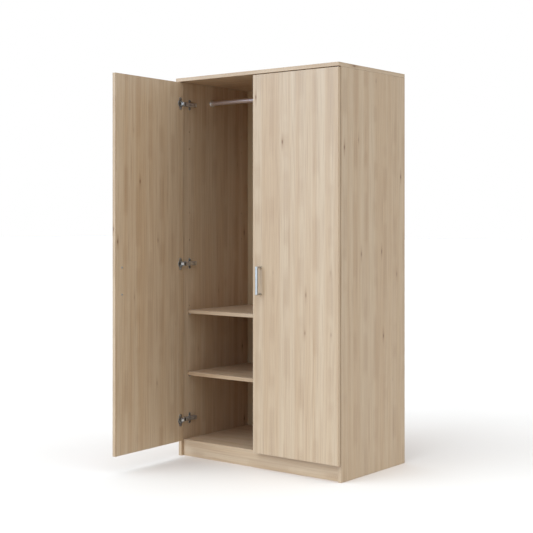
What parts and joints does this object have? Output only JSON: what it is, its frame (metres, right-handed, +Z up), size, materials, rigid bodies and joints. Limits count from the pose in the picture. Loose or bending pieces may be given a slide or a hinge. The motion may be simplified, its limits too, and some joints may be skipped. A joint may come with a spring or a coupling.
{
  "type": "two-door wardrobe",
  "caption": "Tall two-door wardrobe of pale woodgrain board with concealed hinges, bow handles, shelves and a hanging rail, one door open.",
  "frame": {"origin": "on the floor, under the middle of the cabinet's width and depth, on the underside of the plinth's centre rail", "axes": "+Z up, +X to the right of someone who faces the doors, -Y the way the shut doors face, +Y towards the wall"},
  "size_m": [1, 1.0492, 1.91],
  "materials": {
    "beech_board": "matt melamine in pale woodgrain, banded edges",
    "back_sheet": "thin hardboard, same woodgrain inside",
    "hinge_steel": "nickel-plated pressed steel",
    "handle_metal": "satin",
    "rail_chrome": "satin chrome tube"
  },
  "bodies": {
    "carcass": {"side_panel_left": "beech_board", "side_panel_right": "beech_board", "top_panel": "beech_board", "bottom_panel": "beech_board", "plinth_front": "beech_board", "plinth_rear": "beech_board", "plinth_centre_rail": "beech_board", "back_panel": "back_sheet", "shelf_upper": "beech_board", "shelf_lower": "beech_board", "hanging_rail": "rail_chrome", "rail_socket_left": "rail_chrome", "rail_socket_right": "rail_chrome", "shelf_pin_upper_front_left": "hinge_steel", "shelf_pin_upper_front_right": "hinge_steel", "shelf_pin_upper_rear_left": "hinge_steel", "shelf_pin_upper_rear_right": "hinge_steel", "shelf_pin_lower_front_left": "hinge_steel", "shelf_pin_lower_front_right": "hinge_steel", "shelf_pin_lower_rear_left": "hinge_steel", "shelf_pin_lower_rear_right": "hinge_steel", "hinge_top_left_arm": "hinge_steel", "hinge_top_left_plate": "hinge_steel", "hinge_middle_left_arm": "hinge_steel", "hinge_middle_left_plate": "hinge_steel", "hinge_bottom_left_arm": "hinge_steel", "hinge_bottom_left_plate": "hinge_steel", "hinge_top_right_arm": "hinge_steel", "hinge_top_right_plate": "hinge_steel", "hinge_middle_right_arm": "hinge_steel", "hinge_middle_right_plate": "hinge_steel", "hinge_bottom_right_arm": "hinge_steel", "hinge_bottom_right_plate": "hinge_steel"},
    "left_hinge_links": {"hinge_top_left_link": "hinge_steel", "hinge_middle_left_link": "hinge_steel", "hinge_bottom_left_link": "hinge_steel"},
    "left_door": {"door_left": "beech_board", "handle_left": "handle_metal", "handle_screw_top_left": "hinge_steel", "handle_screw_bottom_left": "hinge_steel", "hinge_top_left_cup": "hinge_steel", "hinge_middle_left_cup": "hinge_steel", "hinge_bottom_left_cup": "hinge_steel"},
    "right_hinge_links": {"hinge_top_right_link": "hinge_steel", "hinge_middle_right_link": "hinge_steel", "hinge_bottom_right_link": "hinge_steel"},
    "right_door": {"door_right": "beech_board", "handle_right": "handle_metal", "handle_screw_top_right": "hinge_steel", "handle_screw_bottom_right": "hinge_steel", "hinge_top_right_cup": "hinge_steel", "hinge_middle_right_cup": "hinge_steel", "hinge_bottom_right_cup": "hinge_steel"}
  },
  "joints": [
    {"name": "left_hinge_links_swing", "type": "hinge", "parent": "carcass", "child": "left_hinge_links", "pos_m": [-0.47037, -0.25619, 0.9], "axis": [0, 0, 1], "range_deg": [-57.05, 4.93]},
    {"name": "left_door_swing", "type": "hinge", "parent": "left_hinge_links", "child": "left_door", "pos_m": [-0.46812, -0.27807, 0.9], "axis": [0, 0, -1], "range_deg": [-144.5, 12.38]},
    {"name": "right_hinge_links_swing", "type": "hinge", "parent": "carcass", "child": "right_hinge_links", "pos_m": [0.47037, -0.25619, 0.9], "axis": [0, 0, -1], "range_deg": [0, 61.93]},
    {"name": "right_door_swing", "type": "hinge", "parent": "right_hinge_links", "child": "right_door", "pos_m": [0.4875, -0.27, 0.9], "axis": [0, 0, 1], "range_deg": [0, 156.88]}
  ],
  "couplings": [
    {"joint": "left_hinge_links_swing", "follows": "left_door_swing", "ratio": 0.39444},
    {"joint": "right_hinge_links_swing", "follows": "right_door_swing", "ratio": 0.39444}
  ]
}
